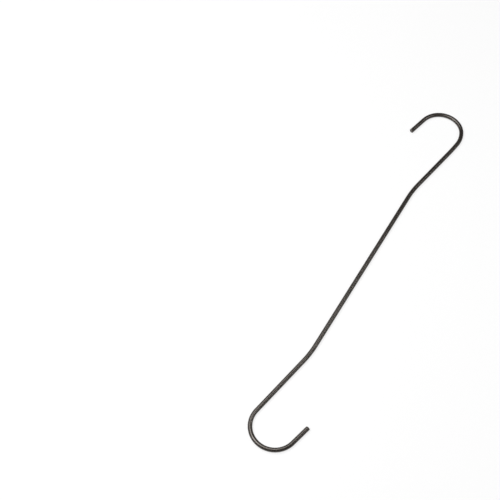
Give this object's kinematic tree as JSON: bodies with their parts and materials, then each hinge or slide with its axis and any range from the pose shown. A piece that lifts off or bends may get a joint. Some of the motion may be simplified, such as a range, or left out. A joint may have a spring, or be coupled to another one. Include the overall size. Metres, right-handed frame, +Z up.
{
  "type": "garden hook",
  "caption": "Long S-shaped garden hook bent from a round painted steel rod, with a crooked neck below each hook, for hanging a basket or pot from a rail or branch.",
  "frame": {"origin": "centre of the hook's outline, on the surface that it lies on", "axes": "+Y along the line of pull, through the middles of both hooks, towards the hook whose mouth opens to -X; +Z up from the surface, square to the plane of the hook"},
  "size_m": [0.0534, 0.38, 0.004],
  "materials": {
    "painted_steel": "dark brown satin paint"
  },
  "bodies": {
    "root": {"hook": "painted_steel"}
  },
  "joints": []
}
